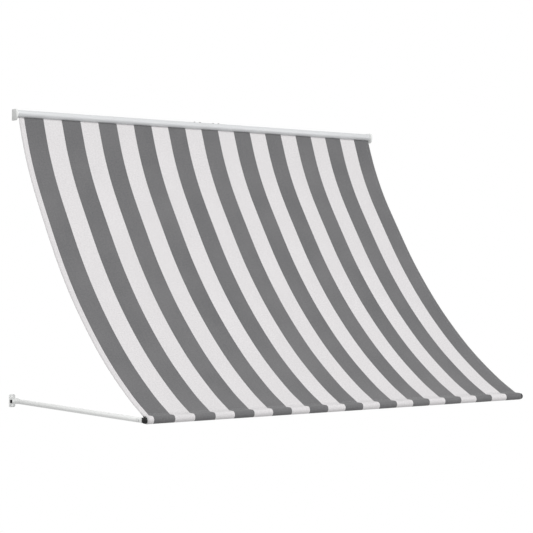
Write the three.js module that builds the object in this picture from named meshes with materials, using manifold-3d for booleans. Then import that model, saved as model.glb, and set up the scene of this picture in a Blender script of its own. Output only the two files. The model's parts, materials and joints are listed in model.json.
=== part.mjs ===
// Drop-arm window awning: a striped cloth hangs from a roller tube between two
// head brackets and is held out by two swinging arms with a front bar.
// Millimetres, +X to the right along the roller, +Y into the wall, +Z up.
// The origin is on the wall, on the back face of the left head bracket,
// level with the roller's axis.
import * as THREE from 'three';
import { mergeVertices } from 'three/addons/utils/BufferGeometryUtils.js';
import Module from 'manifold-3d';

const wasm = await Module();
wasm.setup();

// Overall sizes
const CLOTH_WIDTH = 1916;
const CLOTH_THICK = 0.8;
const ARM_LENGTH = 1044;
const ARM_DROP = 1218.5;
const ARM_REACH = 34;
const ROLLER_REACH = 25;

// Clearances
const FIT = 0.3;
const TURN_GAP = 0.3;
const CLOTH_EDGE_GAP = 8;
const ARM_CLOTH_GAP = 1;

// Roller tube and what it holds
const ROLLER_R = 16.4;
const ROLLER_WALL = 1.2;
const GROOVE_TILT = THREE.MathUtils.degToRad(20);
const GROOVE_DEPTH = 12.2;
const GROOVE_R = 2.9;
const GROOVE_WALL = 1.1;
const GROOVE_MOUTH = 2.4;
const BEAD_R = 2.6;
const SLEEVE_LENGTH = 160;
const SLEEVE_WALL = 1.5;
const JOINT_SCREW_PLACES = [-66, -36, 36, 66];
const JOINT_SCREW_HEAD_R = 4.3;
const JOINT_SCREW_HEAD_H = 1.9;
const JOINT_SCREW_R = 2;
const JOINT_SCREW_LENGTH = 5;
const PLUG_LENGTH = 26;
const PLUG_FLANGE = 2.2;
const PLUG_FLANGE_R = 17.2;
const ROLLER_PIN_R = 4;
const ROLLER_PIN_LENGTH = 4.4;

// Spring motor inside the left half of the roller
const SPINDLE_R = 4;
const SPINDLE_FLAT = 6;
const SPINDLE_LENGTH = 330;
const SPRING_WIRE_R = 1.1;
const SPRING_R = 6.3;
const SPRING_TURNS = 17;
const SPRING_TAIL = 8;
const SPRING_END_GAP = 4;
const ANCHOR_LENGTH = 24;
const SPINDLE_PAST_ANCHOR = 10;

// Head brackets
const CHEEK_THICK = 8;
const CHEEK_DEPTH = 45;
const CHEEK_ABOVE = 19.5;
const CHEEK_BELOW = 28;
const CHEEK_TOP_R = 14;
const CHEEK_BOTTOM_R = 20;
const CHEEK_POCKET = 5;
const FLANGE_WIDTH = 32;
const FLANGE_HEIGHT = 30;
const FLANGE_THICK = 3.5;
const FLANGE_HOLE_R = 2.6;
const FLANGE_HOLE_SPACING = 16;
const RIB_THICK = 4;
const RIB_REACH = 12;

// Front bar, the bushes in its ends and the caps it turns on
const BAR_R = 13.5;
const BAR_WALL = 1.2;
const BAR_SLEEVE_LENGTH = 140;
const BUSH_LENGTH = 24;
const BUSH_FLANGE = 1;
const BUSH_FLANGE_R = 12.9;
const CAP_LENGTH = 9.5;
const CAP_R = 12.4;
const CAP_ROUNDING = 2;
const SPIGOT_R = 10;
const SPIGOT_LENGTH = 28;
const HEM_GAP = 0.3;

// Arms
const ARM_R = 10;
const ARM_WALL = 1.2;
const EYE_R = 12;
const EYE_THICK = 18;
const EYE_NECK = 24;
const EYE_PLUG_LENGTH = 34;
const PIVOT_R = 4;
const TIP_R = 9.8;
const TIP_LENGTH = 29;
const LAP_LENGTH = 19;
const LAP_END_GAP = 0.8;
const LAP_SCREW_BACK = 10;
const LAP_SCREW_R = 1.8;
const LAP_SCREW_LENGTH = 15;
const LAP_SCREW_HEAD_R = 3.4;
const LAP_SCREW_HEAD_H = 1.6;
const LAP_SCREW_HEAD_EDGE = 0.4;
const LAP_SCREW_SUNK = 0.7;

// Arm wall brackets and clamp knobs
const FOOT_PLATE_WIDTH = 28;
const FOOT_PLATE_HEIGHT = 54;
const FOOT_PLATE_THICK = 3;
const FOOT_PLATE_ROUNDING = 6;
const FOOT_HOLE_R = 3.4;
const FOOT_HOLE_SPACING = 38;
const LUG_GAP = 1;
const LUG_THICK = 4;
const LUG_BACK_HEIGHT = 20;
const LUG_EDGE = 3;
const PIVOT_HEAD_R = 8;
const PIVOT_HEAD_H = 3;
const SPACER_R = 8.4;
const SPACER_LENGTH = 7.3;
const KNOB_R = 7.8;
const KNOB_THICK = 5.4;
const KNOB_FLUTES = 8;
const KNOB_FLUTE_DEPTH = 0.6;
const KNOB_SOCKET = 3.8;

// Places worked out from the sizes
const CHEEK_IN = CLOTH_WIDTH / 2 + CLOTH_EDGE_GAP;
const ROLLER_END = CHEEK_IN - TURN_GAP;
const ROLLER_AXIS = new THREE.Vector2(-ROLLER_REACH, 0);
const GROOVE_OUT = new THREE.Vector2(-Math.sin(GROOVE_TILT), -Math.cos(GROOVE_TILT));
const PIVOT_AXIS = new THREE.Vector2(-ARM_REACH, -ARM_DROP);
const BAR_AXIS = new THREE.Vector2(-ARM_REACH - ARM_LENGTH, -ARM_DROP);
const BAR_HALF = CLOTH_WIDTH / 2;
const CAP_IN = BAR_HALF + FIT + BUSH_FLANGE + FIT;
const CAP_OUT = CAP_IN + CAP_LENGTH;
const ARM_MID = CLOTH_WIDTH / 2 + ARM_CLOTH_GAP + ARM_R;
const ARM_IN = ARM_MID - EYE_THICK / 2;
const ARM_OUT = ARM_MID + EYE_THICK / 2;
const LUG_IN = ARM_OUT + LUG_GAP;
const LUG_OUT = LUG_IN + LUG_THICK;
const MOUNT_X = CHEEK_IN - 4;
const PIVOT_CLEAR = PIVOT_R + TURN_GAP;

// Cloth's sag from the groove to the hem, as shares of the bar's reach and drop
const CLOTH_LINE = [
  [0.077, 0.128],
  [0.14, 0.2388],
  [0.2486, 0.3865],
  [0.3683, 0.5343],
  [0.5148, 0.682],
  [0.6994, 0.8297],
  [0.8794, 0.9405],
];
const CLOTH_STEPS = 60;
const HEM_NECK = new THREE.Vector2(24, 15);
const HEM_JOIN = 1.2;

const material = (color, roughness, metalness) =>
  new THREE.MeshStandardMaterial({ color, roughness, metalness });
const paint = {
  rollerSilver: material(0xdcdee1, 0.38, 0.55),
  bracketGrey: material(0xc4c8c5, 0.5, 0.3),
  armWhite: material(0xe2e5e2, 0.42, 0.25),
  steel: material(0xb9bbbd, 0.35, 0.9),
  springSteel: material(0x6d7073, 0.4, 0.9),
  black: material(0x141414, 0.55, 0),
  nylon: material(0xe9ebe8, 0.5, 0),
  stripedCloth: material(0xa9a9aa, 0.85, 0),
};

// Solids and how they are joined and cut

function outward(geometry) {
  const bare = geometry.clone();
  bare.deleteAttribute('normal');
  bare.deleteAttribute('uv');
  const merged = mergeVertices(bare, 1e-4);
  const p = merged.attributes.position;
  const index = Array.from(merged.index.array);
  const a = new THREE.Vector3();
  const b = new THREE.Vector3();
  const c = new THREE.Vector3();
  const kept = [];
  let volume = 0;
  for (let i = 0; i < index.length; i += 3) {
    const [u, v, w] = index.slice(i, i + 3);
    if (u === v || v === w || w === u) continue;
    a.fromBufferAttribute(p, u);
    b.fromBufferAttribute(p, v);
    c.fromBufferAttribute(p, w);
    volume += a.dot(b.cross(c));
    kept.push(u, v, w);
  }
  if (volume < 0) kept.reverse();
  merged.setIndex(kept);
  return merged;
}

function solid(geometry) {
  const closed = outward(geometry);
  return new wasm.Manifold(new wasm.Mesh({
    numProp: 3,
    vertProperties: new Float32Array(closed.attributes.position.array),
    triVerts: new Uint32Array(closed.index.array),
  }));
}

function geometryOf(body) {
  const mesh = body.getMesh();
  const geometry = new THREE.BufferGeometry();
  geometry.setAttribute('position', new THREE.BufferAttribute(mesh.vertProperties, 3));
  geometry.setIndex(new THREE.BufferAttribute(mesh.triVerts, 1));
  return geometry;
}

const join = (first, ...rest) => rest.reduce((body, next) => body.add(next), first);
const cut = (first, ...rest) => rest.reduce((body, next) => body.subtract(next), first);

// A profile drawn in the (Y, Z) plane runs along X, from one place to another
const PROFILE_ALONG_X = new THREE.Matrix4().makeBasis(
  new THREE.Vector3(0, 1, 0),
  new THREE.Vector3(0, 0, 1),
  new THREE.Vector3(1, 0, 0),
);

function alongX(shape, from, to, curveSegments = 24) {
  const geometry = new THREE.ExtrudeGeometry(shape, {
    depth: to - from,
    bevelEnabled: false,
    curveSegments,
  });
  geometry.applyMatrix4(PROFILE_ALONG_X);
  geometry.translate(from, 0, 0);
  return solid(geometry);
}

// A profile of [distance along X, radius] points turned round an axis along X
function turnedX(points, centre, segments = 32) {
  const profile = points.map(([along, radius]) => new THREE.Vector2(radius, along));
  const geometry = new THREE.LatheGeometry(profile, segments);
  geometry.rotateZ(-Math.PI / 2);
  geometry.translate(0, centre.x, centre.y);
  return solid(geometry);
}

function rodX(radius, from, to, centre, segments = 32) {
  return turnedX([[from, 0], [from, radius], [to, radius], [to, 0]], centre, segments);
}

function rodY(radius, from, to, x, z, segments = 24) {
  const geometry = new THREE.CylinderGeometry(radius, radius, to - from, segments);
  geometry.translate(x, (from + to) / 2, z);
  return solid(geometry);
}

function rodZ(radius, from, to, x, y, segments = 24) {
  const geometry = new THREE.CylinderGeometry(radius, radius, to - from, segments);
  geometry.rotateX(Math.PI / 2);
  geometry.translate(x, y, (from + to) / 2);
  return solid(geometry);
}

function block(from, to) {
  const geometry = new THREE.BoxGeometry(to[0] - from[0], to[1] - from[1], to[2] - from[2]);
  geometry.translate((from[0] + to[0]) / 2, (from[1] + to[1]) / 2, (from[2] + to[2]) / 2);
  return solid(geometry);
}

const awning = new THREE.Group();
awning.position.x = MOUNT_X;

function addPiece(name, body, look) {
  const mesh = new THREE.Mesh(geometryOf(body), look);
  mesh.name = name;
  awning.add(mesh);
}

// A piece of the right-hand side and its mirror image on the left
function addPair(name, body, look) {
  addPiece(`${name}_right`, body, look);
  addPiece(`${name}_left`, body.mirror([1, 0, 0]), look);
}

// Head brackets: a rounded cheek on a small wall flange behind the roller

function cheekOutline() {
  const front = -CHEEK_DEPTH;
  const outline = new THREE.Shape();
  outline.moveTo(0, -CHEEK_BELOW);
  outline.lineTo(0, CHEEK_ABOVE);
  outline.lineTo(front + CHEEK_TOP_R, CHEEK_ABOVE);
  outline.absarc(front + CHEEK_TOP_R, CHEEK_ABOVE - CHEEK_TOP_R, CHEEK_TOP_R,
    Math.PI / 2, Math.PI, false);
  outline.lineTo(front, -CHEEK_BELOW + CHEEK_BOTTOM_R);
  outline.absarc(front + CHEEK_BOTTOM_R, -CHEEK_BELOW + CHEEK_BOTTOM_R, CHEEK_BOTTOM_R,
    Math.PI, 1.5 * Math.PI, false);
  return outline;
}

function headBracket(pocket) {
  const cheek = alongX(cheekOutline(), CHEEK_IN, CHEEK_IN + CHEEK_THICK, 10);
  const flange = block(
    [CHEEK_IN - FLANGE_WIDTH, -FLANGE_THICK, -FLANGE_HEIGHT / 2],
    [CHEEK_IN + CHEEK_THICK / 2, 0, FLANGE_HEIGHT / 2],
  );
  const ribShape = new THREE.Shape([
    new THREE.Vector2(CHEEK_IN + CHEEK_THICK / 2, 0),
    new THREE.Vector2(CHEEK_IN + CHEEK_THICK / 2, -FLANGE_THICK - RIB_REACH / 3),
    new THREE.Vector2(CHEEK_IN, -FLANGE_THICK - RIB_REACH / 3),
    new THREE.Vector2(CHEEK_IN - RIB_REACH, -FLANGE_THICK),
    new THREE.Vector2(CHEEK_IN - RIB_REACH, 0),
  ]);
  const rib = solid(new THREE.ExtrudeGeometry(ribShape, { depth: RIB_THICK, bevelEnabled: false })
    .translate(0, 0, -RIB_THICK / 2));
  const holeX = CHEEK_IN - FLANGE_WIDTH / 2 - RIB_REACH / 2;
  const holes = [-1, 1].map((side) =>
    rodY(FLANGE_HOLE_R, -FLANGE_THICK - 1, 1, holeX, side * FLANGE_HOLE_SPACING / 2, 20));
  return cut(join(cheek, flange, rib), pocket, ...holes);
}

const roundPocket = rodX(ROLLER_PIN_R + FIT, CHEEK_IN - 1, CHEEK_IN + CHEEK_POCKET, ROLLER_AXIS);
const flatPocket = block(
  [CHEEK_IN - 1, ROLLER_AXIS.x - SPINDLE_FLAT / 2 - FIT, -SPINDLE_FLAT / 2 - FIT],
  [CHEEK_IN + CHEEK_POCKET, ROLLER_AXIS.x + SPINDLE_FLAT / 2 + FIT, SPINDLE_FLAT / 2 + FIT],
);
addPiece('head_bracket_right', headBracket(roundPocket), paint.bracketGrey);
addPiece('head_bracket_left', headBracket(flatPocket).mirror([1, 0, 0]), paint.bracketGrey);

// Roller tube: two halves with a groove for the cloth's bead, joined by a sleeve

const grooveCentre = ROLLER_AXIS.clone().addScaledVector(GROOVE_OUT, GROOVE_DEPTH);

function grooveMouth(from, to) {
  const across = new THREE.Vector2(-GROOVE_OUT.y, GROOVE_OUT.x);
  const corner = (out, side) => grooveCentre.clone()
    .addScaledVector(GROOVE_OUT, out).addScaledVector(across, side * GROOVE_MOUTH / 2);
  const mouth = new THREE.Shape([
    corner(0, -1), corner(ROLLER_R, -1), corner(ROLLER_R, 1), corner(0, 1),
  ]);
  return alongX(mouth, from, to);
}

function rollerHalf(from, to) {
  const wall = cut(
    rodX(ROLLER_R, from, to, ROLLER_AXIS, 48),
    rodX(ROLLER_R - ROLLER_WALL, from - 1, to + 1, ROLLER_AXIS, 48),
  );
  const channel = rodX(GROOVE_R + GROOVE_WALL, from, to, grooveCentre, 24);
  const inside = rodX(ROLLER_R - ROLLER_WALL / 2, from, to, ROLLER_AXIS, 48);
  const bore = rodX(GROOVE_R, from - 1, to + 1, grooveCentre, 24);
  return cut(join(wall, channel.intersect(inside)), bore, grooveMouth(from - 1, to + 1));
}

function jointScrewHoles(radius) {
  return JOINT_SCREW_PLACES.map((x) => rodZ(radius, 0, ROLLER_R + 2, x, ROLLER_AXIS.x, 20));
}

const rollerTubeEnd = ROLLER_END - PLUG_FLANGE - FIT;
addPiece('roller_tube_right',
  cut(rollerHalf(FIT / 2, rollerTubeEnd), ...jointScrewHoles(JOINT_SCREW_R + FIT)),
  paint.rollerSilver);
addPiece('roller_tube_left',
  cut(rollerHalf(-rollerTubeEnd, -FIT / 2), ...jointScrewHoles(JOINT_SCREW_R + FIT)),
  paint.rollerSilver);

const rollerInside = ROLLER_R - ROLLER_WALL - FIT;
const channelRelief = (from, to) =>
  rodX(GROOVE_R + GROOVE_WALL + FIT, from, to, grooveCentre, 24);
const channelSlot = (from, to) => {
  const across = new THREE.Vector2(-GROOVE_OUT.y, GROOVE_OUT.x);
  const half = GROOVE_R + GROOVE_WALL + FIT;
  const corner = (out, side) => grooveCentre.clone()
    .addScaledVector(GROOVE_OUT, out).addScaledVector(across, side * half);
  return alongX(new THREE.Shape([
    corner(0, -1), corner(ROLLER_R, -1), corner(ROLLER_R, 1), corner(0, 1),
  ]), from, to);
};

function insertX(from, to, boreRadius) {
  return cut(
    rodX(rollerInside, from, to, ROLLER_AXIS, 28),
    rodX(boreRadius, from - 1, to + 1, ROLLER_AXIS, 24),
    channelRelief(from - 1, to + 1),
    channelSlot(from - 1, to + 1),
  );
}

const sleeve = cut(
  insertX(-SLEEVE_LENGTH / 2, SLEEVE_LENGTH / 2, rollerInside - SLEEVE_WALL),
  ...jointScrewHoles(JOINT_SCREW_R + FIT),
);
addPiece('roller_joint_sleeve', sleeve, paint.steel);

JOINT_SCREW_PLACES.forEach((x, i) => {
  const seat = ROLLER_R + FIT;
  const head = turnedX([
    [seat, 0],
    [seat, JOINT_SCREW_HEAD_R],
    [seat + JOINT_SCREW_HEAD_H * 0.45, JOINT_SCREW_HEAD_R],
    [seat + JOINT_SCREW_HEAD_H, JOINT_SCREW_HEAD_R * 0.55],
    [seat + JOINT_SCREW_HEAD_H, 0],
  ], new THREE.Vector2(0, 0), 16).rotate([0, -90, 0]).translate([x, ROLLER_AXIS.x, 0]);
  const shank = rodZ(JOINT_SCREW_R, seat - JOINT_SCREW_LENGTH, seat + 0.2, x, ROLLER_AXIS.x, 12);
  addPiece(`roller_joint_screw_${i + 1}`, join(head, shank), paint.steel);
});

addPiece('cloth_bead', rodX(BEAD_R, -CLOTH_WIDTH / 2, CLOTH_WIDTH / 2, grooveCentre, 16),
  paint.nylon);

function endPlug(boreRadius) {
  const flange = rodX(PLUG_FLANGE_R, ROLLER_END - PLUG_FLANGE, ROLLER_END, ROLLER_AXIS, 32);
  const body = insertX(rollerTubeEnd - PLUG_LENGTH, ROLLER_END - PLUG_FLANGE / 2, boreRadius);
  return join(flange, body);
}

addPiece('roller_plug_right', join(
  endPlug(ROLLER_PIN_R - 1),
  rodX(ROLLER_PIN_R, rollerTubeEnd - PLUG_LENGTH, ROLLER_END + TURN_GAP + ROLLER_PIN_LENGTH,
    ROLLER_AXIS),
), paint.nylon);
addPiece('roller_plug_left', cut(
  endPlug(SPINDLE_R + TURN_GAP),
  rodX(SPINDLE_R + TURN_GAP, 0, ROLLER_END + 1, ROLLER_AXIS),
).mirror([1, 0, 0]), paint.nylon);

// Spring motor: fixed spindle, torsion spring and the anchor it winds

const spindleOut = -CHEEK_IN - ROLLER_PIN_LENGTH;
const spindleIn = -CHEEK_IN + SPINDLE_LENGTH;
const spindleRound = rodX(SPINDLE_R, -CHEEK_IN + FIT, spindleIn, ROLLER_AXIS, 24);
const spindleFlat = block(
  [spindleOut, ROLLER_AXIS.x - SPINDLE_FLAT / 2, -SPINDLE_FLAT / 2],
  [-CHEEK_IN + 1, ROLLER_AXIS.x + SPINDLE_FLAT / 2, SPINDLE_FLAT / 2],
);
const springFrom = -rollerTubeEnd + PLUG_LENGTH + 12;
const anchorFrom = spindleIn - SPINDLE_PAST_ANCHOR - ANCHOR_LENGTH;
const springTo = anchorFrom - SPRING_END_GAP;
const collar = turnedX([
  [springFrom - 8, 0],
  [springFrom - 8, SPRING_R + SPRING_WIRE_R],
  [springFrom - 2, SPRING_R + SPRING_WIRE_R],
  [springFrom - 2, 0],
], ROLLER_AXIS, 24);
const tailCentre = new THREE.Vector2(ROLLER_AXIS.x + SPRING_R, 0);
const collarHole = rodX(SPRING_WIRE_R + FIT, springFrom - 9, springFrom - 1, tailCentre, 12);
addPiece('spring_spindle', cut(join(spindleRound, spindleFlat, collar), collarHole),
  paint.steel);

class SpringLine extends THREE.Curve {
  getPoint(t) {
    const angle = t * SPRING_TURNS * 2 * Math.PI;
    return new THREE.Vector3(
      springFrom + t * (springTo - springFrom),
      ROLLER_AXIS.x + SPRING_R * Math.cos(angle),
      SPRING_R * Math.sin(angle),
    );
  }
}

const wire = new THREE.Shape();
wire.absarc(0, 0, SPRING_WIRE_R, 0, 2 * Math.PI, false);
const springCoil = new THREE.ExtrudeGeometry(wire, {
  steps: SPRING_TURNS * 9,
  curveSegments: 2,
  extrudePath: new SpringLine(),
});
const springTail = (from, to) => rodX(SPRING_WIRE_R * 0.98, from, to, tailCentre, 12);
addPiece('roller_spring', join(
  solid(springCoil),
  springTail(springFrom - SPRING_TAIL, springFrom + 0.5),
  springTail(springTo - 0.5, springTo + SPRING_TAIL),
), paint.springSteel);

const anchor = cut(
  insertX(anchorFrom, anchorFrom + ANCHOR_LENGTH, SPINDLE_R + TURN_GAP),
  rodX(SPRING_WIRE_R + FIT, anchorFrom - 1, springTo + SPRING_TAIL + 2, tailCentre, 16),
);
addPiece('spring_anchor', anchor, paint.nylon);

// Cloth with the pocket hem that holds the front bar

function hemPocket(radius, neck) {
  const away = Math.atan2(neck.y - BAR_AXIS.y, neck.x - BAR_AXIS.x);
  const open = Math.acos(radius / neck.distanceTo(BAR_AXIS));
  const outline = new THREE.Shape();
  outline.absarc(BAR_AXIS.x, BAR_AXIS.y, radius, away + open, away - open + 2 * Math.PI, false);
  outline.lineTo(neck.x, neck.y);
  return outline;
}

function clothSheet() {
  const slotIn = grooveCentre.clone().addScaledVector(GROOVE_OUT, BEAD_R + FIT);
  const slotOut = ROLLER_AXIS.clone().addScaledVector(GROOVE_OUT, ROLLER_R + 6);
  const neck = BAR_AXIS.clone().add(HEM_NECK);
  const sag = CLOTH_LINE.map(([reach, drop]) =>
    new THREE.Vector2(reach * BAR_AXIS.x, drop * BAR_AXIS.y));
  const knots = [slotIn, slotOut, ...sag, neck];
  const line = new THREE.CatmullRomCurve3(
    knots.map((knot) => new THREE.Vector3(knot.x, knot.y, 0)),
    false,
    'centripetal',
  );
  const centre = line.getPoints(CLOTH_STEPS).map((point) => new THREE.Vector2(point.x, point.y));
  const offset = (side) => centre.map((point, i) => {
    const before = centre[Math.max(i - 1, 0)];
    const after = centre[Math.min(i + 1, centre.length - 1)];
    const along = after.clone().sub(before).normalize();
    return new THREE.Vector2(-along.y, along.x)
      .multiplyScalar(side * CLOTH_THICK / 2).add(point);
  });
  return new THREE.Shape([...offset(1), ...offset(-1).reverse()]);
}

const half = CLOTH_WIDTH / 2;
const hemInside = BAR_R + HEM_GAP;
const hemOutside = hemInside + CLOTH_THICK;
const hemNeck = BAR_AXIS.clone().add(HEM_NECK);
const hemNeckInside = BAR_AXIS.clone().add(HEM_NECK.clone().multiplyScalar(0.86));
const hemLoop = cut(
  alongX(hemPocket(hemOutside, hemNeck), -half, half, 15),
  alongX(hemPocket(hemInside, hemNeckInside), -half - 1, half + 1, 15),
);
const neckStrip = rodX(HEM_JOIN, -half, half, hemNeck, 12);
addPiece('awning_cloth', join(alongX(clothSheet(), -half, half), hemLoop, neckStrip),
  paint.stripedCloth);

// Front bar: two tube halves on an inner sleeve, with a flanged bush in each outer end

function hollowRod(radius, wall, from, to, segments = 40) {
  return cut(
    rodX(radius, from, to, BAR_AXIS, segments),
    rodX(radius - wall, from - 1, to + 1, BAR_AXIS, segments),
  );
}

addPair('bar_tube', hollowRod(BAR_R, BAR_WALL, FIT / 2, BAR_HALF), paint.rollerSilver);
const barInside = BAR_R - BAR_WALL - FIT;
addPiece('bar_joint_sleeve',
  hollowRod(barInside, SLEEVE_WALL, -BAR_SLEEVE_LENGTH / 2, BAR_SLEEVE_LENGTH / 2),
  paint.steel);

const bush = turnedX([
  [BAR_HALF - BUSH_LENGTH, 0],
  [BAR_HALF - BUSH_LENGTH, barInside],
  [BAR_HALF + FIT, barInside],
  [BAR_HALF + FIT, BUSH_FLANGE_R],
  [BAR_HALF + FIT + BUSH_FLANGE, BUSH_FLANGE_R],
  [BAR_HALF + FIT + BUSH_FLANGE, 0],
], BAR_AXIS, 24);
const bushBore = rodX(SPIGOT_R + TURN_GAP, BAR_HALF - BUSH_LENGTH - 1, CAP_OUT, BAR_AXIS, 24);
addPair('bar_washer', cut(bush, bushBore), paint.nylon);

// Half-lap joint between an arm's tip and its cap: the cap's half lies inboard

const tipAxis = new THREE.Vector2(ARM_MID, BAR_AXIS.y);
const lapFront = BAR_AXIS.x + CAP_R + LAP_END_GAP;
const lapBack = lapFront + LAP_LENGTH;
const tipBack = lapFront + TIP_LENGTH;
const tipRod = (from, to) => rodY(TIP_R, from, to, tipAxis.x, tipAxis.y, 24);
const lapBlock = (inboard, outboard, from, to) => block(
  [inboard, from, tipAxis.y - 2 * TIP_R],
  [outboard, to, tipAxis.y + 2 * TIP_R],
);

function lapScrew(extra) {
  const top = ARM_MID + TIP_R - LAP_SCREW_SUNK;
  const neck = top - LAP_SCREW_HEAD_H;
  const place = new THREE.Vector2(lapBack - LAP_SCREW_BACK, BAR_AXIS.y);
  return turnedX([
    [top - LAP_SCREW_LENGTH - extra, 0],
    [top - LAP_SCREW_LENGTH - extra, LAP_SCREW_R + extra],
    [neck, LAP_SCREW_R + extra],
    [top - LAP_SCREW_HEAD_EDGE, LAP_SCREW_HEAD_R + extra],
    [top + 2 * extra, LAP_SCREW_HEAD_R + extra],
    [top + 2 * extra, 0],
  ], place, 20);
}

const cap = turnedX([
  [CAP_IN - SPIGOT_LENGTH, 0],
  [CAP_IN - SPIGOT_LENGTH, SPIGOT_R - 1],
  [CAP_IN - SPIGOT_LENGTH + 1, SPIGOT_R],
  [CAP_IN, SPIGOT_R],
  [CAP_IN, CAP_R],
  [CAP_OUT - CAP_ROUNDING, CAP_R],
  [CAP_OUT - CAP_ROUNDING * 0.3, CAP_R - CAP_ROUNDING * 0.3],
  [CAP_OUT, CAP_R - CAP_ROUNDING],
  [CAP_OUT, 0],
], BAR_AXIS, 28);
const tongue = tipRod(BAR_AXIS.x, lapBack - FIT)
  .intersect(lapBlock(CAP_IN, ARM_MID - FIT / 2, BAR_AXIS.x - 1, lapBack));
addPair('bar_cap', cut(join(cap, tongue), lapScrew(FIT)), paint.black);
addPair('bar_pivot_screw', lapScrew(0), paint.steel);

// Arms: a tube with a moulded eye plugged into its root and a lapped tip in its end

const armFoot = PIVOT_AXIS.x - EYE_NECK;
const armTube = cut(
  rodY(ARM_R, tipBack, armFoot, ARM_MID, BAR_AXIS.y),
  rodY(ARM_R - ARM_WALL, tipBack - 1, armFoot + 1, ARM_MID, BAR_AXIS.y),
);
addPair('arm_tube', armTube, paint.armWhite);

const armPlug = (from, to) => rodY(ARM_R - ARM_WALL - FIT, from, to, ARM_MID, BAR_AXIS.y);
const rootEye = cut(
  join(
    rodX(EYE_R, ARM_IN, ARM_OUT, PIVOT_AXIS, 28),
    rodY(EYE_THICK / 2, armFoot + FIT, PIVOT_AXIS.x, ARM_MID, BAR_AXIS.y),
    armPlug(armFoot - EYE_PLUG_LENGTH, PIVOT_AXIS.x),
  ),
  rodX(PIVOT_CLEAR, ARM_IN - 1, ARM_OUT + 1, PIVOT_AXIS, 24),
);
addPair('arm_root_eye', rootEye, paint.nylon);

const tip = join(tipRod(lapFront, tipBack - FIT), armPlug(lapBack, tipBack + EYE_PLUG_LENGTH));
const lapRoom = lapBlock(ARM_MID - 2 * TIP_R, ARM_MID + FIT / 2, lapFront - 1, lapBack);
addPair('arm_tip_eye', cut(tip, lapRoom, lapScrew(FIT)), paint.nylon);

// Arm wall brackets: a screw plate with a lug that carries the pivot bolt

function footPlate() {
  const right = LUG_OUT + LUG_EDGE;
  const left = right - FOOT_PLATE_WIDTH;
  const low = -ARM_DROP - FOOT_PLATE_HEIGHT / 2;
  const high = -ARM_DROP + FOOT_PLATE_HEIGHT / 2;
  const r = FOOT_PLATE_ROUNDING;
  const outline = new THREE.Shape();
  outline.moveTo(left + r, low);
  outline.lineTo(right - r, low);
  outline.absarc(right - r, low + r, r, -Math.PI / 2, 0, false);
  outline.lineTo(right, high - r);
  outline.absarc(right - r, high - r, r, 0, Math.PI / 2, false);
  outline.lineTo(left + r, high);
  outline.absarc(left + r, high - r, r, Math.PI / 2, Math.PI, false);
  outline.lineTo(left, low + r);
  outline.absarc(left + r, low + r, r, Math.PI, 1.5 * Math.PI, false);
  const geometry = new THREE.ExtrudeGeometry(outline, {
    depth: FOOT_PLATE_THICK,
    bevelEnabled: false,
    curveSegments: 3,
  });
  geometry.rotateX(Math.PI / 2);
  const holeX = (left + right) / 2;
  const holes = [-1, 1].map((side) => rodY(FOOT_HOLE_R, -FOOT_PLATE_THICK - 1, 1, holeX,
    -ARM_DROP + side * FOOT_HOLE_SPACING / 2, 20));
  return cut(solid(geometry), ...holes);
}

function lugOutline() {
  const reach = PIVOT_AXIS.distanceTo(new THREE.Vector2(0, PIVOT_AXIS.y));
  const rise = Math.atan2(LUG_BACK_HEIGHT / 2 - EYE_R, reach);
  const outline = new THREE.Shape();
  outline.moveTo(0, PIVOT_AXIS.y - LUG_BACK_HEIGHT / 2);
  outline.lineTo(0, PIVOT_AXIS.y + LUG_BACK_HEIGHT / 2);
  outline.absarc(PIVOT_AXIS.x, PIVOT_AXIS.y, EYE_R,
    Math.PI / 2 + rise, 1.5 * Math.PI - rise, false);
  return outline;
}

const armBracket = cut(
  join(footPlate(), alongX(lugOutline(), LUG_IN, LUG_OUT, 9)),
  rodX(PIVOT_R + FIT, LUG_IN - 1, LUG_OUT + 1, PIVOT_AXIS, 24),
);
addPair('arm_bracket', armBracket, paint.bracketGrey);

const pivotHeadSeat = ARM_IN - FIT;
const knobIn = LUG_OUT + SPACER_LENGTH;
const pivotBolt = turnedX([
  [pivotHeadSeat - PIVOT_HEAD_H, 0],
  [pivotHeadSeat - PIVOT_HEAD_H, PIVOT_HEAD_R * 0.6],
  [pivotHeadSeat - PIVOT_HEAD_H * 0.4, PIVOT_HEAD_R],
  [pivotHeadSeat, PIVOT_HEAD_R],
  [pivotHeadSeat, PIVOT_R],
  [knobIn + KNOB_SOCKET - FIT, PIVOT_R],
  [knobIn + KNOB_SOCKET - FIT, 0],
], PIVOT_AXIS, 24);
addPair('pivot_bolt', pivotBolt, paint.steel);
addPair('pivot_washer', cut(
  rodX(SPACER_R, LUG_OUT + FIT, knobIn - FIT, PIVOT_AXIS, 28),
  rodX(PIVOT_R + FIT, LUG_OUT, knobIn, PIVOT_AXIS, 24),
), paint.nylon);

// Clamp knobs: fluted caps that screw onto the pivot bolts

function knobOutline() {
  const outline = new THREE.Shape();
  const steps = KNOB_FLUTES * 4;
  for (let i = 0; i < steps; i += 1) {
    const angle = (i / steps) * 2 * Math.PI;
    const radius = KNOB_R - KNOB_FLUTE_DEPTH * (0.5 + 0.5 * Math.cos(angle * KNOB_FLUTES));
    const place = [PIVOT_AXIS.x + radius * Math.cos(angle), PIVOT_AXIS.y + radius * Math.sin(angle)];
    if (i === 0) outline.moveTo(...place);
    else outline.lineTo(...place);
  }
  return outline;
}

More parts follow.
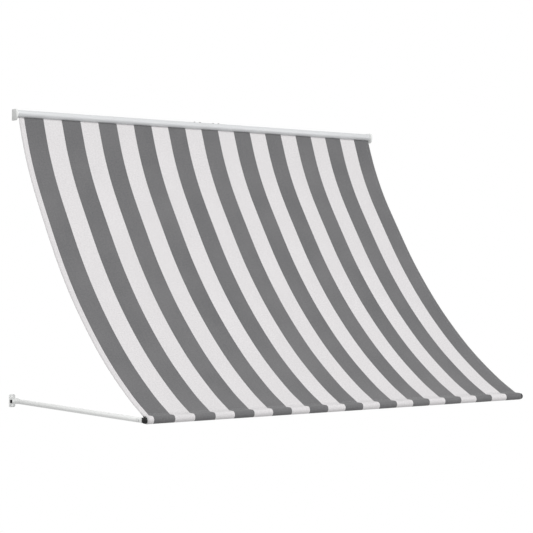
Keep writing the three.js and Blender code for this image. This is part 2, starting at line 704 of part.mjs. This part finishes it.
const knobBody = alongX(knobOutline(), knobIn, knobIn + KNOB_THICK);
const knobDome = turnedX([
  [knobIn - 1, 0],
  [knobIn - 1, KNOB_R + 1],
  [knobIn + KNOB_THICK * 0.7, KNOB_R + 1],
  [knobIn + KNOB_THICK * 0.7, KNOB_R],
  [knobIn + KNOB_THICK * 0.92, KNOB_R * 0.86],
  [knobIn + KNOB_THICK, KNOB_R * 0.62],
  [knobIn + KNOB_THICK, 0],
], PIVOT_AXIS, 32);
const knobSocket = rodX(PIVOT_R + TURN_GAP, knobIn - 1, knobIn + KNOB_SOCKET, PIVOT_AXIS, 20);
addPair('clamp_knob', cut(knobBody.intersect(knobDome), knobSocket), paint.black);

export default awning;
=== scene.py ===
import bisect
import json
import math

import bmesh
import bpy
from mathutils import Matrix, Vector, noise


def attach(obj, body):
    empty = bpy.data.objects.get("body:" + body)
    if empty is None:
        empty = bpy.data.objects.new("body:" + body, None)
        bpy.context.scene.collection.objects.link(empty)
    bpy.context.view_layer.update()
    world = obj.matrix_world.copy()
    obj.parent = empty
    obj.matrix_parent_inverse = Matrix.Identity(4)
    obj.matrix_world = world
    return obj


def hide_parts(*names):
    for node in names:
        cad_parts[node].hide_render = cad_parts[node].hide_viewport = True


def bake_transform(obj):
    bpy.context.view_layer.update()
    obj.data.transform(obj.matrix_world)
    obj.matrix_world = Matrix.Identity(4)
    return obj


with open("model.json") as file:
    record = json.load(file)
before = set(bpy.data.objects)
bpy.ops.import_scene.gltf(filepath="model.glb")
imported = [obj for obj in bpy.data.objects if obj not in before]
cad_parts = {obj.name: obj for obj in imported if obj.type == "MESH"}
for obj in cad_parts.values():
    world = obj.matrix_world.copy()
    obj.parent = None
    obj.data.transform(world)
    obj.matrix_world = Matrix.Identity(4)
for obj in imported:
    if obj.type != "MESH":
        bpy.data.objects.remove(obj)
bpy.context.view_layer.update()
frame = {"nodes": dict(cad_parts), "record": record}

MM = 0.001
MID_X = 0.962
CLOTH_WIDTH = 1.916
LEFT_EDGE = MID_X - CLOTH_WIDTH / 2
EDGE_STRIP = 25 * MM
DARK_STRIPE = 92 * MM
STRIPE_PERIOD = 180 * MM
ROLLER_AXIS = Vector((0, -25 * MM, 0))
ROLLER_R = 16.4 * MM
GROOVE_TILT = math.radians(20)
GROOVE_DEPTH = 12.2 * MM
BEAD_R = 2.6 * MM
BAR_AXIS = Vector((0, -1078 * MM, -1218.5 * MM))
HEM_NECK = Vector((0, 24 * MM, 15 * MM))
POCKET_R = 14.2 * MM
CLOTH_THICK = 0.6 * MM
FLAP_LENGTH = 24 * MM
SIDE_HEM = 20 * MM
IN_GROOVE = 1.8 * MM
HEM_ROWS = (4 * MM, 9 * MM)
LAYER_GAP = 0.1 * MM
CLOTH_COLUMNS = 160
HEM_STEPS = 120
LINE_STEPS = 24
LINE_GAP = 14 * MM
SEAM_GAP = 6 * MM
STITCH_PITCH = 5 * MM
STITCH_LENGTH = 3.4 * MM
THREAD_R = 0.28 * MM
STITCHES_AT_ONCE = 40
WEAVE_PITCH = 0.9 * MM
SOFT_EDGE = 0.35 * MM
WELD = 0.01 * MM
FLAT_ANGLE = math.radians(1)
SOFTENED_ANGLE = math.radians(35)
CREASE_ANGLE = math.radians(30)
CAMERA_PLACE = (-2.8807, -5.8567, -0.6831)
CAMERA_TURN = (90.312, -0.018, -35.655)
CAMERA_LENS = 102.22
FLOOR_HEIGHT = -2.6
FLOOR_HALF = 30
FLOOR_SHADE = 0.66
FLOOR_FADE = (2, 4)
AMBIENT = 0.62
# How far out and down the cloth hangs, as shares of the bar's reach and drop
SAG = [(0.077, 0.128), (0.14, 0.2388), (0.2486, 0.3865), (0.3683, 0.5343), (0.5148, 0.682),
       (0.6994, 0.8297), (0.8794, 0.9405)]


# Camera


def add_camera():
    data = bpy.data.cameras.new("camera")
    data.lens = CAMERA_LENS
    data.sensor_width = 36
    data.clip_start = 0.05
    data.clip_end = 100
    camera = bpy.data.objects.new("camera", data)
    camera.location = CAMERA_PLACE
    camera.rotation_euler = [math.radians(turn) for turn in CAMERA_TURN]
    bpy.context.scene.collection.objects.link(camera)
    bpy.context.scene.camera = camera


# Materials


class Finish:
    """A node material with the few steps that the finishes share."""

    def __init__(self, name, color, roughness, metallic=0.0):
        self.material = bpy.data.materials.new(name)
        self.material.use_nodes = True
        self.material.diffuse_color = (*color, 1)
        self.tree = self.material.node_tree
        self.shader = self.tree.nodes["Principled BSDF"]
        self.shader.inputs["Base Color"].default_value = (*color, 1)
        self.shader.inputs["Roughness"].default_value = roughness
        self.shader.inputs["Metallic"].default_value = metallic
        self.coords = self.tree.nodes.new("ShaderNodeTexCoord")

    def link(self, out, into):
        self.tree.links.new(out, into)

    def node(self, kind, **values):
        made = self.tree.nodes.new(kind)
        for key, value in values.items():
            setattr(made, key, value)
        return made

    def math(self, operation, a, b=None):
        step = self.node("ShaderNodeMath", operation=operation)
        for socket, value in zip(step.inputs, (a, b)):
            if value is None:
                continue
            if isinstance(value, (int, float)):
                socket.default_value = value
            else:
                self.link(value, socket)
        return step.outputs[0]

    def grain(self, scale, stretch=(1, 1, 1), detail=3.0, source=None):
        mapping = self.node("ShaderNodeMapping")
        mapping.inputs["Scale"].default_value = stretch
        self.link(source or self.coords.outputs["Object"], mapping.inputs["Vector"])
        texture = self.node("ShaderNodeTexNoise")
        texture.inputs["Scale"].default_value = scale
        texture.inputs["Detail"].default_value = detail
        self.link(mapping.outputs[0], texture.inputs["Vector"])
        return texture.outputs["Fac"]

    def spread(self, value, low, high):
        ramp = self.node("ShaderNodeMapRange")
        ramp.inputs["From Min"].default_value = 0.3
        ramp.inputs["From Max"].default_value = 0.7
        ramp.inputs["To Min"].default_value = low
        ramp.inputs["To Max"].default_value = high
        self.link(value, ramp.inputs["Value"])
        return ramp.outputs[0]

    def mix(self, factor, a, b):
        step = self.node("ShaderNodeMix", data_type="RGBA")
        for socket, value in zip((step.inputs[0], step.inputs[6], step.inputs[7]), (factor, a, b)):
            if isinstance(value, (int, float)):
                socket.default_value = value
            elif isinstance(value, tuple):
                socket.default_value = (*value, 1)
            else:
                self.link(value, socket)
        return step.outputs[2]

    def color(self, value):
        self.link(value, self.shader.inputs["Base Color"])

    def roughness(self, value):
        self.link(value, self.shader.inputs["Roughness"])

    def bump(self, height, strength, distance):
        step = self.node("ShaderNodeBump")
        step.inputs["Strength"].default_value = strength
        step.inputs["Distance"].default_value = distance
        self.link(height, step.inputs["Height"])
        self.link(step.outputs[0], self.shader.inputs["Normal"])

    def worn_edges(self, base, edge, amount):
        """Paler along convex edges, where the coat has rubbed thin."""
        geometry = self.node("ShaderNodeNewGeometry")
        rub = self.node("ShaderNodeMapRange")
        rub.inputs["From Min"].default_value = 0.53
        rub.inputs["From Max"].default_value = 0.62
        rub.inputs["To Max"].default_value = amount
        self.link(geometry.outputs["Pointiness"], rub.inputs["Value"])
        return self.mix(rub.outputs[0], base, edge)


def drawn_aluminium():
    finish = Finish("drawn_aluminium", (0.60, 0.61, 0.62), 0.45, 0.12)
    lines = finish.grain(900, stretch=(0.004, 1, 1), detail=2)
    patches = finish.grain(7, stretch=(0.4, 1, 1))
    color = finish.mix(finish.spread(lines, 0.0, 0.5), (0.64, 0.65, 0.66), (0.57, 0.58, 0.59))
    finish.color(finish.mix(finish.spread(patches, 0.0, 0.25), color, (0.54, 0.55, 0.56)))
    finish.roughness(finish.spread(lines, 0.40, 0.54))
    finish.bump(lines, 0.12, 0.0002)
    return finish.material


def painted_metal(name, pale, deep, worn):
    finish = Finish(name, pale, 0.5, 0.0)
    peel = finish.grain(420, detail=2)
    cloud = finish.grain(24)
    base = finish.mix(finish.spread(cloud, 0.0, 0.35), pale, deep)
    finish.color(finish.worn_edges(base, worn, 0.5))
    finish.roughness(finish.spread(peel, 0.42, 0.56))
    finish.bump(peel, 0.25, 0.0002)
    return finish.material


def arm_lacquer():
    finish = Finish("arm_lacquer", (0.90, 0.91, 0.90), 0.45, 0.0)
    cloud = finish.grain(9, stretch=(1, 0.3, 1))
    peel = finish.grain(300, detail=2)
    base = finish.mix(finish.spread(cloud, 0.0, 0.3), (0.91, 0.92, 0.91), (0.85, 0.86, 0.85))
    finish.color(finish.worn_edges(base, (0.92, 0.93, 0.92), 0.4))
    finish.roughness(finish.spread(peel, 0.38, 0.52))
    finish.bump(peel, 0.12, 0.0002)
    return finish.material


def turned_steel(name, pale, deep):
    finish = Finish(name, pale, 0.32, 0.9)
    lines = finish.grain(700, stretch=(1, 0.05, 0.05), detail=2)
    spots = finish.grain(60)
    finish.color(finish.mix(finish.spread(spots, 0.0, 0.4), pale, deep))
    finish.roughness(finish.spread(lines, 0.24, 0.42))
    finish.bump(lines, 0.15, 0.0001)
    return finish.material


def spring_wire():
    finish = Finish("spring_wire", (0.16, 0.17, 0.18), 0.35, 0.8)
    lines = finish.grain(500, detail=2)
    finish.color(finish.mix(finish.spread(lines, 0.0, 0.5), (0.18, 0.19, 0.20), (0.10, 0.10, 0.11)))
    finish.roughness(finish.spread(lines, 0.28, 0.45))
    finish.bump(lines, 0.1, 0.0001)
    return finish.material


def moulded(name, pale, deep, roughness, worn):
    finish = Finish(name, pale, roughness)
    speckle = finish.grain(650, detail=2)
    cloud = finish.grain(30)
    base = finish.mix(finish.spread(cloud, 0.0, 0.6), pale, deep)
    finish.color(finish.worn_edges(base, worn, 0.5))
    finish.roughness(finish.spread(speckle, roughness - 0.07, roughness + 0.07))
    finish.shader.inputs["Specular IOR Level"].default_value = 0.22
    finish.bump(speckle, 0.2, 0.0002)
    return finish.material


def woven_stripes():
    """Printed stripes across a plain weave: the stripes follow X, the threads the UV map."""
    finish = Finish("woven_stripes", (0.45, 0.45, 0.45), 0.85)
    split = finish.node("ShaderNodeSeparateXYZ")
    finish.link(finish.coords.outputs["Object"], split.inputs[0])
    along = finish.math("SUBTRACT", split.outputs["X"], LEFT_EDGE + EDGE_STRIP)
    place = finish.math("FLOORED_MODULO", along, STRIPE_PERIOD)
    dark = finish.math("LESS_THAN", place, DARK_STRIPE)
    inside = finish.math("GREATER_THAN", along, 0)
    dark = finish.math("MULTIPLY", dark, inside)

    threads = finish.node("ShaderNodeUVMap", uv_map="threads")
    cell = finish.node("ShaderNodeSeparateXYZ")
    finish.link(threads.outputs[0], cell.inputs[0])
    warp = finish.math("MULTIPLY", cell.outputs["X"], math.pi / WEAVE_PITCH)
    weft = finish.math("MULTIPLY", cell.outputs["Y"], math.pi / WEAVE_PITCH)
    warp_height = finish.math("ABSOLUTE", finish.math("SINE", warp))
    weft_height = finish.math("ABSOLUTE", finish.math("SINE", weft))
    crossing = finish.math("MULTIPLY",
                           finish.math("SINE", finish.math("MULTIPLY", warp, 0.5)),
                           finish.math("SINE", finish.math("MULTIPLY", weft, 0.5)))
    over = finish.math("GREATER_THAN", crossing, 0)
    under = finish.math("SUBTRACT", 1, over)
    weave = finish.math("ADD", finish.math("MULTIPLY", warp_height, over),
                        finish.math("MULTIPLY", weft_height, under))

    speckle = finish.grain(420, detail=2, source=threads.outputs[0])
    cloud = finish.grain(3.5, source=threads.outputs[0])
    streaks = finish.grain(260, stretch=(1, 0.03, 1), detail=2, source=threads.outputs[0])
    white = finish.mix(finish.spread(speckle, 0.0, 0.6), (0.79, 0.771, 0.781), (0.70, 0.682, 0.691))
    grey = finish.mix(finish.spread(speckle, 0.0, 0.6), (0.157, 0.157, 0.162), (0.118, 0.118, 0.123))
    fleck = finish.spread(finish.grain(150, detail=1, source=threads.outputs[0]), 0.0, 0.9)
    white = finish.mix(fleck, white, (0.65, 0.634, 0.642))
    grey = finish.mix(fleck, grey, (0.105, 0.105, 0.109))
    white = finish.mix(finish.spread(streaks, 0.0, 0.25), white, (0.665, 0.65, 0.65))
    grey = finish.mix(finish.spread(streaks, 0.0, 0.3), grey, (0.162, 0.160, 0.163))
    cloth = finish.mix(dark, white, grey)
    cloth = finish.mix(finish.spread(cloud, 0.0, 0.10), cloth, (0.42, 0.41, 0.41))
    # Painted shade: the cloth colour is darkened toward dark grey in the low places between the
    # threads, where the weave would cast its own shade.
    thread_gap_shade = finish.math("MULTIPLY", finish.math("SUBTRACT", 1, weave), 0.22)
    finish.color(finish.mix(thread_gap_shade, cloth, (0.10, 0.10, 0.10)))
    finish.roughness(finish.spread(speckle, 0.78, 0.92))
    finish.shader.inputs["Sheen Weight"].default_value = 0.12
    finish.shader.inputs["Sheen Roughness"].default_value = 0.5
    finish.shader.inputs["Specular IOR Level"].default_value = 0.25
    finish.bump(weave, 0.35, 0.0002)
    return finish.material


def sewing_thread():
    finish = Finish("sewing_thread", (0.45, 0.45, 0.46), 0.7)
    twist = finish.grain(2500, detail=1)
    finish.color(finish.mix(finish.spread(twist, 0.0, 0.6), (0.50, 0.50, 0.51), (0.34, 0.34, 0.35)))
    finish.roughness(finish.spread(twist, 0.6, 0.8))
    finish.bump(twist, 0.3, 0.0001)
    return finish.material


# Pieces taken over from the solids, with softened edges


def finished_copy(node, name, material, soften=SOFT_EDGE, body=None):
    """A merged copy of a solid with rounded edges and smooth faces."""
    mesh = bpy.data.meshes.new(name)
    work = bmesh.new()
    work.from_mesh(frame["nodes"][node].data)
    bmesh.ops.remove_doubles(work, verts=work.verts, dist=WELD)
    bmesh.ops.dissolve_limit(work, angle_limit=FLAT_ANGLE, verts=work.verts, edges=work.edges)
    if soften:
        sharp = [e for e in work.edges if e.is_manifold and e.calc_face_angle(0) > SOFTENED_ANGLE]
        bmesh.ops.bevel(work, geom=sharp, offset=soften, offset_type="OFFSET", segments=2,
                        profile=0.5, affect="EDGES", clamp_overlap=True, material=-1)
    for face in work.faces:
        face.smooth = True
    for edge in work.edges:
        if edge.is_manifold and edge.calc_face_angle(0) > CREASE_ANGLE:
            edge.smooth = False
    work.to_mesh(mesh)
    work.free()
    piece = bpy.data.objects.new(name, mesh)
    piece.data.materials.clear()
    piece.data.materials.append(material)
    bpy.context.scene.collection.objects.link(piece)
    if body:
        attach(piece, body)
    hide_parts(node)
    return piece


def winding_spring(material):
    """The torsion spring, whose one tail sits in the spindle's collar and the other in the anchor,
    copied from its solid without softened edges and with its placement baked into the mesh."""
    piece = finished_copy("roller_spring", "roller_spring_finished", material, soften=0)
    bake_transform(piece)


def body_of_node(node):
    for body, members in frame["record"]["behaviour"]["bodies"].items():
        if node in members:
            return body
    return "root"


# Cloth


def smooth_line(knots, steps):
    """A smooth curve through the knots, as (Y, Z) points, evenly many to each span."""
    ends = [2 * knots[0] - knots[1], *knots, 2 * knots[-1] - knots[-2]]
    spans = len(knots) - 1
    points = []
    for i in range(spans * steps + 1):
        span = min(i // steps, spans - 1)
        t = i / steps - span
        p0, p1, p2, p3 = ends[span:span + 4]
        d0, d1, d2 = (math.sqrt((b - a).length) for a, b in ((p0, p1), (p1, p2), (p2, p3)))
        m1 = ((p1 - p0) / d0 - (p2 - p0) / (d0 + d1) + (p2 - p1) / d1) * d1
        m2 = ((p2 - p1) / d1 - (p3 - p1) / (d1 + d2) + (p3 - p2) / d2) * d1
        points.append((2 * t**3 - 3 * t**2 + 1) * p1 + (t**3 - 2 * t**2 + t) * m1
                      + (3 * t**2 - 2 * t**3) * p2 + (t**3 - t**2) * m2)
    return points


def spaced(points, gap):
    """The same line with points evenly spaced, about gap apart."""
    lengths = [0.0]
    for a, b in zip(points, points[1:]):
        lengths.append(lengths[-1] + (b - a).length)
    count = max(2, round(lengths[-1] / gap))
    result = []
    at = 0
    for i in range(count + 1):
        goal = lengths[-1] * i / count
        while at < len(points) - 2 and lengths[at + 1] < goal:
            at += 1
        share = (goal - lengths[at]) / (lengths[at + 1] - lengths[at])
        result.append(points[at].lerp(points[at + 1], min(max(share, 0), 1)))
    return result


def cloth_profile():
    """The cloth's section from the groove, down the sag, round the bar and back up the seam."""
    out = Vector((0, -math.sin(GROOVE_TILT), -math.cos(GROOVE_TILT)))
    start = ROLLER_AXIS + out * (GROOVE_DEPTH + BEAD_R + 0.3 * MM)
    leave = ROLLER_AXIS + out * (ROLLER_R + 6 * MM)
    neck = BAR_AXIS + HEM_NECK
    sag = [Vector((0, reach * BAR_AXIS.y, drop * BAR_AXIS.z)) for reach, drop in SAG]
    knots = [start, leave, *sag, neck]
    fall = spaced(smooth_line(knots, LINE_STEPS), LINE_GAP)

    away = math.atan2(HEM_NECK.z, HEM_NECK.y)
    opening = math.acos(POCKET_R / HEM_NECK.length)
    arc_start, arc_end = away + opening, away - opening + 2 * math.pi
    arc = []
    for i in range(LINE_STEPS + 1):
        angle = arc_start + (arc_end - arc_start) * i / LINE_STEPS
        arc.append(BAR_AXIS + Vector((0, math.cos(angle), math.sin(angle))) * POCKET_R)
    over = spaced([neck, arc[0]], SEAM_GAP)[1:-1]

    along = (fall[-3] - neck).normalized()
    under = Vector((0, -along.z, along.y))
    if under.z > 0:
        under = -under
    seam_start = neck + along * 3 * MM + under * 0.9 * MM
    flap = spaced([arc[-1], neck + under * 1 * MM + along * 1 * MM], SEAM_GAP)[1:]
    seam = [seam_start + along * (FLAP_LENGTH * i / 4) for i in range(5)]
    return fall, over + arc, flap + seam


def cloth_wave(x, s, length):
    """How far the cloth stands off its smooth curve: small puckers under the roller and
    over the bar, and a slow swell in between."""
    u = x - LEFT_EDGE
    near_top = math.exp(-((s - 0.05) / 0.07) ** 2)
    near_hem = math.exp(-((length - 0.03 - s) / 0.05) ** 2)
    middle = max(0.0, math.sin(math.pi * min(max(s / length, 0), 1)))
    puckers = noise.noise(Vector((u * 17, s * 4, 1.3))) * near_top * 0.9 * MM
    gathers = noise.noise(Vector((u * 26, s * 6, 7.1))) * near_hem * 0.7 * MM
    swell = noise.noise(Vector((u * 2.3, s * 1.6, 4.2))) * middle * 2.0 * MM
    edge = min(u, CLOTH_WIDTH - u)
    flutter = noise.noise(Vector((s * 5, u, 9.4))) * math.exp(-edge / 0.05) * middle * 1.6 * MM
    return puckers + gathers + swell + flutter


class Hanging:
    """The cloth's line from the groove to the end of the seam, with the running length and
    the outward direction at each of its points."""

    def __init__(self):
        fall, pocket, flap = cloth_profile()
        self.line = fall + pocket + flap
        self.length = [0.0]
        for a, b in zip(self.line, self.line[1:]):
            self.length.append(self.length[-1] + (b - a).length)
        self.fall = self.length[len(fall) - 1]
        self.outward = []
        for i in range(len(self.line)):
            before, after = self.line[max(i - 1, 0)], self.line[min(i + 1, len(self.line) - 1)]
            run = (after - before).normalized()
            self.outward.append(Vector((0, run.z, -run.y)))

    def at(self, x, s, off=0.0):
        """The place on the cloth at X and length s, lifted off its middle by a distance."""
        i = min(max(bisect.bisect_right(self.length, s) - 1, 0), len(self.line) - 2)
        share = (s - self.length[i]) / (self.length[i + 1] - self.length[i])
        place = self.line[i].lerp(self.line[i + 1], share)
        out = self.outward[i].lerp(self.outward[i + 1], share).normalized()
        fade = min(1, max(0, (s - 8 * MM) / (20 * MM))) * min(1, max(0, self.fall - s) / (30 * MM))
        lift = off + (cloth_wave(x, s, self.fall) * fade if fade > 0 else 0)
        return Vector((x, 0, 0)) + place + out * lift

    def piece(self, name, columns, lengths, material, off=None):
        """A woven sheet over the given X places and lengths, with the thread coordinates."""
        work = bmesh.new()
        bmesh.ops.create_grid(work, x_segments=len(columns) - 1, y_segments=len(lengths) - 1,
                              size=1)
        uv = work.loops.layers.uv.new("threads")
        spot = {}
        for vert in work.verts:
            i = round((vert.co.x + 1) / 2 * (len(columns) - 1))
            j = round((vert.co.y + 1) / 2 * (len(lengths) - 1))
            spot[vert] = (columns[i], lengths[j])
            vert.co = self.at(columns[i], lengths[j], off[i] if off else 0)
        for face in work.faces:
            face.smooth = True
            for loop in face.loops:
                x, s = spot[loop.vert]
                loop[uv].uv = (x - LEFT_EDGE, s)
        bmesh.ops.recalc_face_normals(work, faces=work.faces)
        sheet = made_object(name, work, material)
        wall = sheet.modifiers.new("thickness", "SOLIDIFY")
        wall.thickness = CLOTH_THICK
        wall.offset = 0
        bpy.context.view_layer.objects.active = sheet
        bpy.ops.object.modifier_apply(modifier=wall.name)
        return sheet


def made_object(name, work, material):
    mesh = bpy.data.meshes.new(name)
    work.to_mesh(mesh)
    work.free()
    piece = bpy.data.objects.new(name, mesh)
    mesh.materials.append(material)
    bpy.context.scene.collection.objects.link(piece)
    return piece


def follow_cloth(piece):
    """Bake the piece's placement into its mesh."""
    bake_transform(piece)


def striped_cloth(hanging, material):
    """The cloth; its first strip, held in the groove, turns with the roller."""
    columns = [LEFT_EDGE + CLOTH_WIDTH * i / CLOTH_COLUMNS for i in range(CLOTH_COLUMNS + 1)]
    held = hanging.piece("cloth_in_groove", columns, [0, IN_GROOVE], material)
    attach(held, "roller")
    rows = [IN_GROOVE + 0.2 * MM, *(s for s in hanging.length if s > 2 * IN_GROOVE)]
    cloth = hanging.piece("striped_cloth", columns, rows, material)
    follow_cloth(cloth)
    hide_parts("awning_cloth")


def side_hems(hanging, material):
    """The cloth's side edges, folded back underneath."""
    top, bottom = 30 * MM, hanging.fall - 6 * MM
    rows = [top + (bottom - top) * i / HEM_STEPS for i in range(HEM_STEPS + 1)]
    layer = CLOTH_THICK + LAYER_GAP
    inset = (-0.25 * MM, 0.7 * MM, SIDE_HEM / 2, SIDE_HEM)
    lift = (-layer / 2, -layer, -layer, -layer)
    for side, edge, turn in (("left", LEFT_EDGE, 1), ("right", LEFT_EDGE + CLOTH_WIDTH, -1)):
        places = [edge + turn * d for d in inset]
        hem = hanging.piece(f"side_hem_{side}", places, rows, material, lift)
        follow_cloth(hem)


def stitch_run(hanging, name, seats, along, material):
    """A seam of short stitches on the given cloth places, each an elongated bead of thread."""
    shape = Matrix.Diagonal((STITCH_LENGTH / 2, THREAD_R, THREAD_R, 1))
    work = bmesh.new()
    for first in range(0, len(seats), STITCHES_AT_ONCE):
        few = bmesh.new()
        for x, s, off in seats[first:first + STITCHES_AT_ONCE]:
            here = hanging.at(x, s, off)
            next_x, next_s = (x + MM, s) if along == "X" else (x, s + MM)
            run = hanging.at(next_x, next_s, off) - here
            turn = run.to_track_quat("X", "Z").to_matrix().to_4x4()
            bmesh.ops.create_uvsphere(few, u_segments=5, v_segments=4, radius=1,
                                      matrix=Matrix.Translation(here) @ turn @ shape)
        for face in few.faces:
            face.smooth = True
        run_mesh = bpy.data.meshes.new("few_stitches")
        few.to_mesh(run_mesh)
        few.free()
        work.from_mesh(run_mesh)
        bpy.data.meshes.remove(run_mesh)
    seam = made_object(name, work, material)
    follow_cloth(seam)


def stitched_seams(hanging, material):
    front = CLOTH_THICK / 2 + THREAD_R * 0.3
    back = -front
    across = int((CLOTH_WIDTH - 12 * MM) / STITCH_PITCH)
    down = int((hanging.fall - 50 * MM) / STITCH_PITCH)
    for side, off in (("front", front), ("back", back)):
        hem = [(LEFT_EDGE + 6 * MM + STITCH_PITCH * i, hanging.fall - row, off)
               for row in HEM_ROWS for i in range(across + 1)]
        stitch_run(hanging, f"hem_stitches_{side}", hem, "X", material)
        edge = SIDE_HEM - 2.5 * MM
        lift = off if side == "front" else off - CLOTH_THICK - LAYER_GAP
        sides = [(x, 35 * MM + STITCH_PITCH * i, lift)
                 for x in (LEFT_EDGE + edge, LEFT_EDGE + CLOTH_WIDTH - edge)
                 for i in range(down + 1)]
        stitch_run(hanging, f"side_stitches_{side}", sides, "S", material)


# Stage and lights


def add_stage():
    """A pale floor that takes the shadow and fades to white, for the camera, further out."""
    work = bmesh.new()
    bmesh.ops.create_grid(work, x_segments=1, y_segments=1, size=FLOOR_HALF)
    bmesh.ops.translate(work, verts=work.verts, vec=(MID_X, 0, FLOOR_HEIGHT))
    mesh = bpy.data.meshes.new("floor")
    work.to_mesh(mesh)
    work.free()
    floor = bpy.data.objects.new("floor", mesh)
    bpy.context.scene.collection.objects.link(floor)
    material = bpy.data.materials.new("pale_floor")
    material.use_nodes = True
    tree = material.node_tree
    matte = tree.nodes["Principled BSDF"]
    matte.inputs["Base Color"].default_value = (FLOOR_SHADE, FLOOR_SHADE, FLOOR_SHADE, 1)
    matte.inputs["Roughness"].default_value = 0.9
    seen = tree.nodes.new("ShaderNodeEmission")
    seen.inputs["Color"].default_value = (1, 1, 1, 1)
    seen.inputs["Strength"].default_value = 1
    path = tree.nodes.new("ShaderNodeLightPath")
    both = tree.nodes.new("ShaderNodeMixShader")
    far = tree.nodes.new("ShaderNodeTexCoord")
    distance = tree.nodes.new("ShaderNodeVectorMath")
    distance.operation = "LENGTH"
    tree.links.new(far.outputs["Object"], distance.inputs[0])
    fade = tree.nodes.new("ShaderNodeMapRange")
    fade.inputs["From Min"].default_value = FLOOR_FADE[0]
    fade.inputs["From Max"].default_value = FLOOR_FADE[1]
    tree.links.new(distance.outputs["Value"], fade.inputs["Value"])
    amount = tree.nodes.new("ShaderNodeMath")
    amount.operation = "MULTIPLY"
    tree.links.new(path.outputs["Is Camera Ray"], amount.inputs[0])
    tree.links.new(fade.outputs[0], amount.inputs[1])
    tree.links.new(amount.outputs[0], both.inputs[0])
    tree.links.new(matte.outputs[0], both.inputs[1])
    tree.links.new(seen.outputs[0], both.inputs[2])
    tree.links.new(both.outputs[0], tree.nodes["Material Output"].inputs["Surface"])
    mesh.materials.append(material)


def add_world():
    """Soft light from all sides, behind a background that looks white."""
    world = bpy.data.worlds.new("studio")
    bpy.context.scene.world = world
    world.use_nodes = True
    tree = world.node_tree
    light = tree.nodes["Background"]
    light.inputs["Color"].default_value = (1, 1, 1, 1)
    light.inputs["Strength"].default_value = AMBIENT
    white = tree.nodes.new("ShaderNodeBackground")
    white.inputs["Color"].default_value = (1, 1, 1, 1)
    white.inputs["Strength"].default_value = 1
    path = tree.nodes.new("ShaderNodeLightPath")
    seen = path.outputs["Is Camera Ray"]
    for kind in ("Is Glossy Ray", "Is Transmission Ray"):
        either = tree.nodes.new("ShaderNodeMath")
        either.operation = "MAXIMUM"
        tree.links.new(seen, either.inputs[0])
        tree.links.new(path.outputs[kind], either.inputs[1])
        seen = either.outputs[0]
    both = tree.nodes.new("ShaderNodeMixShader")
    tree.links.new(seen, both.inputs[0])
    tree.links.new(light.outputs[0], both.inputs[1])
    tree.links.new(white.outputs[0], both.inputs[2])
    tree.links.new(both.outputs[0], tree.nodes["World Output"].inputs["Surface"])


def add_lamp(name, place, aim, size, power):
    data = bpy.data.lights.new(name, "AREA")
    data.shape = "SQUARE"
    data.size = size
    data.energy = power
    lamp = bpy.data.objects.new(name, data)
    lamp.location = place
    lamp.rotation_euler = (Vector(aim) - Vector(place)).to_track_quat("-Z", "Y").to_euler()
    bpy.context.scene.collection.objects.link(lamp)


def add_lights():
    centre = (MID_X, -0.5, -0.6)
    add_lamp("key", (-1.5, -5.0, 4.5), centre, 4, 260)
    add_lamp("fill", (4.5, -5.0, 1.0), centre, 4, 90)


add_camera()
bpy.context.scene.view_settings.view_transform = "Standard"
add_world()
add_lights()
add_stage()

ALUMINIUM = drawn_aluminium()
CAST = painted_metal("painted_cast", (0.72, 0.73, 0.72), (0.66, 0.67, 0.665), (0.80, 0.81, 0.80))
PLATE = painted_metal("painted_plate", (0.87, 0.88, 0.87), (0.80, 0.81, 0.805), (0.92, 0.93, 0.92))
LACQUER = arm_lacquer()
STEEL = turned_steel("turned_steel", (0.60, 0.61, 0.62), (0.46, 0.46, 0.46))
SCREWS = turned_steel("plated_screws", (0.33, 0.33, 0.34), (0.24, 0.24, 0.24))
SPRING = spring_wire()
BLACK = moulded("black_moulding", (0.014, 0.014, 0.015), (0.008, 0.008, 0.008), 0.55,
                (0.04, 0.04, 0.04))
NYLON = moulded("pale_moulding", (0.86, 0.87, 0.86), (0.79, 0.80, 0.79), 0.5, (0.90, 0.91, 0.90))
STRIPES = woven_stripes()
THREAD = sewing_thread()

FINISHES = {
    "roller_silver": ALUMINIUM,
    "bracket_grey": CAST,
    "arm_white": LACQUER,
    "steel": STEEL,
    "white_plastic": NYLON,
    "black_plastic": BLACK,
}
OWN_FINISH = {"arm_bracket_left": PLATE, "arm_bracket_right": PLATE,
              **{f"roller_joint_screw_{i}": SCREWS for i in range(1, 5)}}
MADE_APART = {"awning_cloth", "roller_spring"}

for part in frame["record"]["subparts"]:
    node = part["node"]
    if node in MADE_APART:
        continue
    material = OWN_FINISH.get(node, FINISHES[part["material_slot"]])
    piece = finished_copy(node, f"{node}_finished", material, body=body_of_node(node))

winding_spring(SPRING)
HANGING = Hanging()
striped_cloth(HANGING, STRIPES)
side_hems(HANGING, STRIPES)
stitched_seams(HANGING, THREAD)
